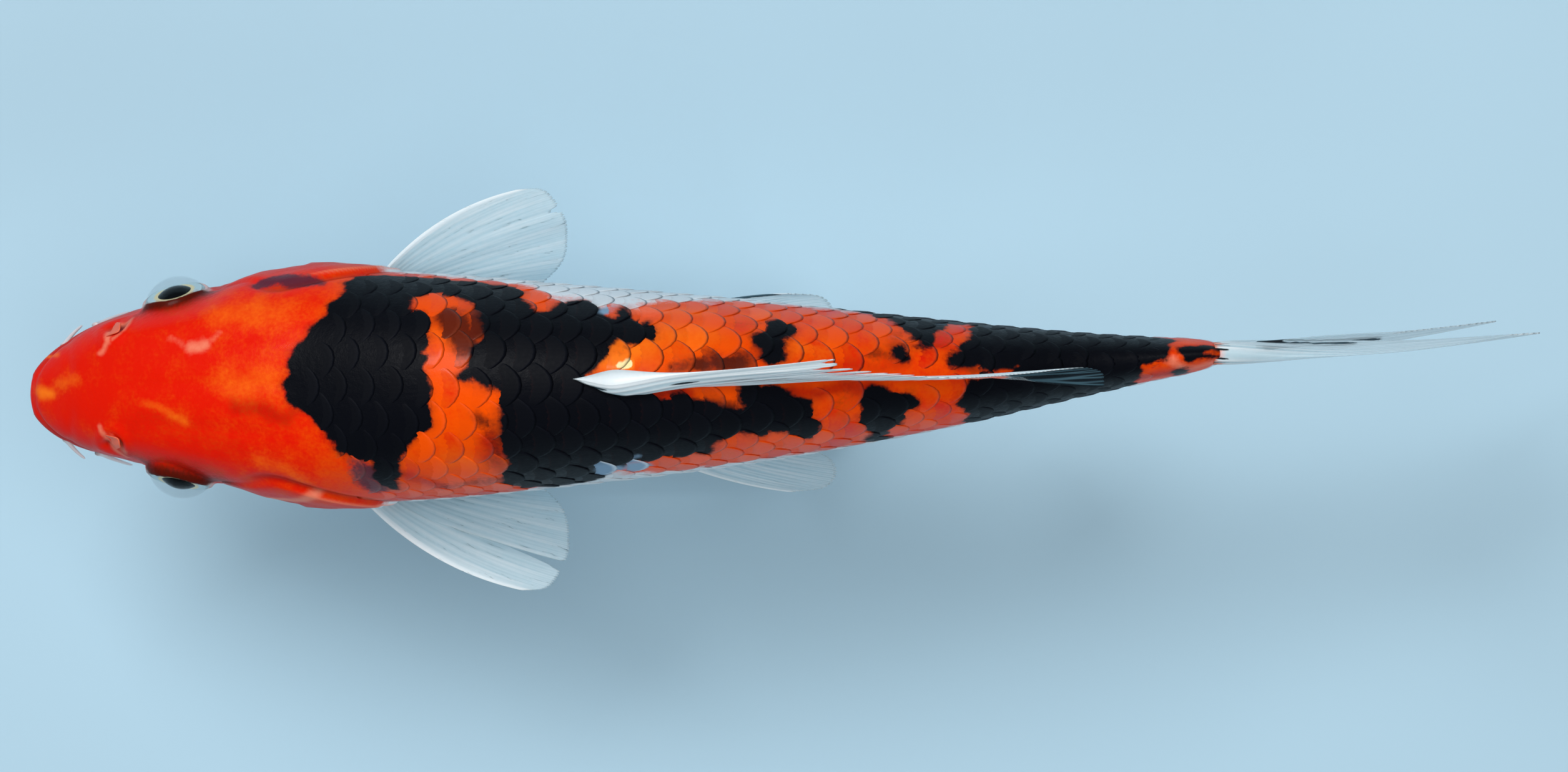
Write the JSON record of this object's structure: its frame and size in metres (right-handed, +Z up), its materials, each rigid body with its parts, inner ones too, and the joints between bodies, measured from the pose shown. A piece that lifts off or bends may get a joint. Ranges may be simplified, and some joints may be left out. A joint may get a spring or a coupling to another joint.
{
  "type": "koi carp",
  "caption": "Young koi carp with red head and black and orange back, swimming level with fins spread, as a life-size display model on rods over a flat base.",
  "frame": {"origin": "middle of the bounding box's underside, on the stand base's underside", "axes": "-X towards the snout, +X towards the tail, +Y the fish's right side, +Z up"},
  "size_m": [0.259, 0.0704, 0.1066],
  "materials": {
    "skin": "wet scaled skin, red, orange and black over white",
    "fin": "thin clear membrane with pale rays",
    "barbel": "smooth pale feeler",
    "eye": "silver iris, black pupil, clear wet surface",
    "stand_base": "satin pale grey",
    "stand_rod": "brushed"
  },
  "bodies": {
    "root": {"head": "skin", "lower_jaw": "skin", "gill_cover_right": "skin", "gill_cover_left": "skin", "trunk_front": "skin", "trunk_rear": "skin", "tail_stem": "skin", "eye_right": "eye", "eye_left": "eye", "barbel_front_right": "barbel", "barbel_front_left": "barbel", "barbel_rear_right": "barbel", "barbel_rear_left": "barbel", "dorsal_fin": "fin", "anal_fin": "fin", "tail_fin_upper": "fin", "tail_fin_lower": "fin", "pectoral_fin_right": "fin", "pectoral_fin_left": "fin", "pelvic_fin_right": "fin", "pelvic_fin_left": "fin", "stand_base": "stand_base", "stand_rod_front": "stand_rod", "stand_rod_rear": "stand_rod"}
  },
  "joints": []
}
